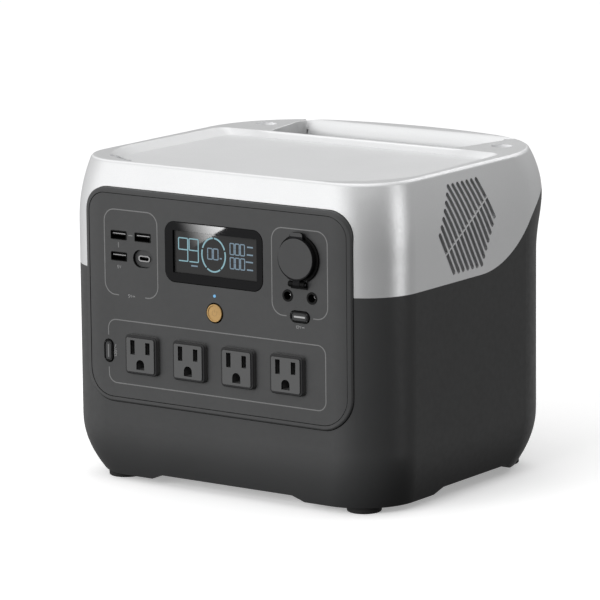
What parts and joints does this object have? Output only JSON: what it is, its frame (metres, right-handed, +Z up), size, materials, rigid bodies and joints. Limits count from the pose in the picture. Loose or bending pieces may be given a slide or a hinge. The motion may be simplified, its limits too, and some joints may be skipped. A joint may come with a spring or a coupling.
{
  "type": "power station",
  "caption": "Portable power station: silver shell with tray and rear grip over a dark case, front panel with display, outlets and sockets.",
  "frame": {"origin": "centre of the object's box in plan, at the soles of the feet", "axes": "+X to the object's right as seen from its front, -Y out of the control panel, +Z up"},
  "size_m": [0.27, 0.26, 0.224],
  "materials": {
    "silver_shell": "satin silver moulding",
    "dark_shell": "fine-grained dark grey moulding",
    "panel": "fine-grained dark grey moulding",
    "frame": "fine-grained dark grey moulding",
    "lens": "glossy black",
    "display": "lit display",
    "bronze": "bronze, satin",
    "light_blue": "blue light guide",
    "light_white": "white light bar",
    "outlet": "dark grey moulding",
    "port_metal": "pressed steel",
    "black_plastic": "black moulding",
    "rubber": "black rubber",
    "steel": "plain steel",
    "aluminium": "extruded aluminium",
    "circuit": "green circuit board",
    "cell": "blue film over aluminium",
    "copper": "copper",
    "filter": "dark mesh",
    "winding": "taped winding"
  },
  "bodies": {
    "case": {"top_shell": "silver_shell", "lower_shell": "dark_shell", "grip_scoop": "dark_shell", "grip_underside": "rubber", "front_frame": "frame", "front_panel": "panel", "display_lens": "lens", "display_module": "display", "power_light_guide": "light_blue", "usb_c_port": "port_metal", "dc_jack_left": "black_plastic", "dc_jack_right": "black_plastic", "car_socket": "black_plastic", "cover_hinge_base": "rubber", "cover_hinge_pin": "steel", "heat_sink": "aluminium", "main_board": "circuit", "battery_board": "circuit", "front_board": "circuit", "transformer": "winding", "capacitor_1": "black_plastic", "capacitor_2": "black_plastic", "battery_tray": "black_plastic", "battery_frame": "black_plastic", "bus_bars": "copper", "rear_input_plate": "panel", "ac_inlet": "black_plastic", "dc_inlet": "black_plastic", "case_screws": "steel", "ac_outlet_1": "outlet", "ac_outlet_2": "outlet", "ac_outlet_3": "outlet", "ac_outlet_4": "outlet", "usb_a_port_1": "port_metal", "usb_a_port_2": "port_metal", "usb_a_port_3": "port_metal", "battery_cell_1": "cell", "battery_cell_2": "cell", "battery_cell_3": "cell", "battery_cell_4": "cell", "battery_cell_5": "cell", "battery_cell_6": "cell", "fan_frame_left": "black_plastic", "dust_filter_left": "filter", "fan_frame_right": "black_plastic", "dust_filter_right": "filter", "foot_front_left": "rubber", "foot_front_right": "rubber", "foot_rear_left": "rubber", "foot_rear_right": "rubber"},
    "power_button": {"power_button": "bronze"},
    "ac_button": {"ac_button": "black_plastic", "ac_button_light": "light_white"},
    "dc_button": {"dc_button": "black_plastic", "dc_button_light": "light_white"},
    "reset_button": {"reset_button": "black_plastic"},
    "car_socket_cover": {"car_socket_cover": "rubber"},
    "fan_rotor_left": {"fan_rotor_left": "black_plastic"},
    "fan_rotor_right": {"fan_rotor_right": "black_plastic"}
  },
  "joints": [
    {"name": "power_button_press", "type": "slide", "parent": "case", "child": "power_button", "axis": [0, 1, 0], "range_m": [0, 0.001], "stiffness_N_per_m": 900},
    {"name": "ac_button_press", "type": "slide", "parent": "case", "child": "ac_button", "axis": [0, 1, 0], "range_m": [0, 0.0008], "stiffness_N_per_m": 900},
    {"name": "dc_button_press", "type": "slide", "parent": "case", "child": "dc_button", "axis": [0, 1, 0], "range_m": [0, 0.0008], "stiffness_N_per_m": 900},
    {"name": "reset_button_press", "type": "slide", "parent": "case", "child": "reset_button", "axis": [0, -1, 0], "range_m": [0, 0.0015], "stiffness_N_per_m": 900},
    {"name": "car_socket_cover_hinge", "type": "hinge", "parent": "case", "child": "car_socket_cover", "pos_m": [0.0699, -0.1274, 0.1559], "axis": [1, 0, 0], "range_deg": [0, 120]},
    {"name": "fan_left_spin", "type": "hinge", "parent": "case", "child": "fan_rotor_left", "pos_m": [-0.118, -0.0215, 0.1852], "axis": [-1, 0, 0], "continuous": true},
    {"name": "fan_right_spin", "type": "hinge", "parent": "case", "child": "fan_rotor_right", "pos_m": [0.118, -0.0215, 0.1852], "axis": [1, 0, 0], "continuous": true}
  ]
}
